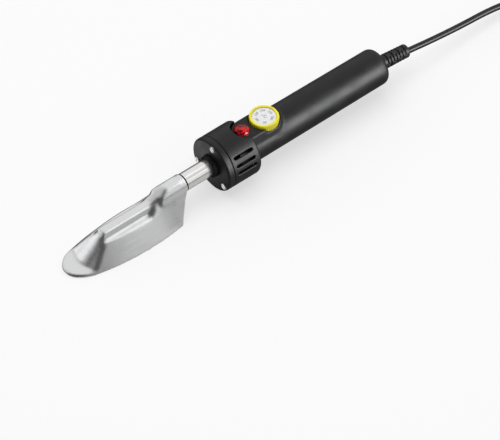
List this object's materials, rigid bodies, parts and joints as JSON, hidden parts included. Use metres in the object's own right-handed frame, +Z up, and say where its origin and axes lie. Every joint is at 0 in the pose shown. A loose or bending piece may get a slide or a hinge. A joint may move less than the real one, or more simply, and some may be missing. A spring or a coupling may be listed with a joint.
{
  "type": "heated hand iron",
  "caption": "Mains-heated hand iron: cast aluminium shoe on a steel neck, vented collar, round handle with lamp and temperature dial, cord with plug.",
  "frame": {"origin": "on the floor under the middle of the tool without its cord, which rests on its sole and its collar", "axes": "+X along the tool from the shoe's tip to the cord, +Z up, out of the console with the dial"},
  "size_m": [0.618, 0.082, 0.0504],
  "materials": {
    "cast_aluminium": "satin cast, lightly ground",
    "neck_steel": "polished stainless steel",
    "zinc_steel": "bright zinc-plated steel",
    "black_plastic": "fine spark-eroded satin",
    "black_bush": "matt phenolic",
    "red_lens": "clear red, faceted",
    "yellow_plastic": "smooth moulded",
    "printed_disc": "white label with grey print",
    "bulb_glass": "clear neon bulb",
    "mica": "layered mica",
    "board_green": "glass-fibre board with solder mask",
    "component_black": "moulded component bodies",
    "component_blue": "component cases",
    "heat_sink_aluminium": "extruded, plain",
    "terminal_nylon": "natural nylon",
    "brass_parts": "turned brass, nickelled",
    "heat_sleeve": "woven glass sleeving",
    "core_brown": "wire insulation",
    "core_blue": "wire insulation",
    "core_green": "wire insulation, green and yellow",
    "black_rubber": "moulded, satin",
    "cord_rubber": "smooth extruded sheath",
    "tie_black": "woven hook-and-loop strap",
    "plug_rubber": "moulded plug",
    "plug_metal": "nickel-plated brass"
  },
  "bodies": {
    "body": {"shoe": "cast_aluminium", "shoe_set_screw": "zinc_steel", "heater_cartridge": "neck_steel", "sensor_probe": "neck_steel", "neck_tube": "neck_steel", "neck_flange": "zinc_steel", "neck_bush": "black_bush", "mica_washer": "mica", "front_cap": "black_plastic", "cap_screws": "zinc_steel", "collar": "black_plastic", "handle_shell": "black_plastic", "lamp_bezel": "black_plastic", "lamp_lens": "red_lens", "lamp_nut": "component_black", "lamp_bulb": "bulb_glass", "potentiometer_body": "component_blue", "potentiometer_nut": "brass_parts", "control_board": "board_green", "triac": "component_black", "heat_sink": "heat_sink_aluminium", "suppression_capacitor": "component_blue", "smoothing_capacitor": "component_black", "glass_fuse": "bulb_glass", "dropper_resistors": "terminal_nylon", "terminal_block": "terminal_nylon", "terminal_screws": "zinc_steel", "cord_clamp": "terminal_nylon", "clamp_saddle": "terminal_nylon", "clamp_screws": "zinc_steel", "heater_leads": "heat_sleeve", "sensor_leads": "heat_sleeve", "live_board_wire": "core_brown", "neutral_board_wire": "core_blue", "earth_lead": "core_green", "live_core": "core_brown", "neutral_core": "core_blue", "earth_core": "core_green", "cord_inner_end": "cord_rubber", "strain_relief": "black_rubber", "power_cord": "cord_rubber", "cord_coil": "cord_rubber", "cord_tie": "tie_black", "cord_tail": "cord_rubber", "plug_body": "plug_rubber", "plug_pins": "plug_metal", "plug_earth_clips": "plug_metal"},
    "dial": {"dial_knob": "yellow_plastic", "dial_disc": "printed_disc", "dial_shaft": "brass_parts"}
  },
  "joints": [
    {"name": "dial_turn", "type": "hinge", "parent": "body", "child": "dial", "pos_m": [0.0286, 0, 0.04], "axis": [0, 0, 1], "range_deg": [-140, 140]}
  ]
}
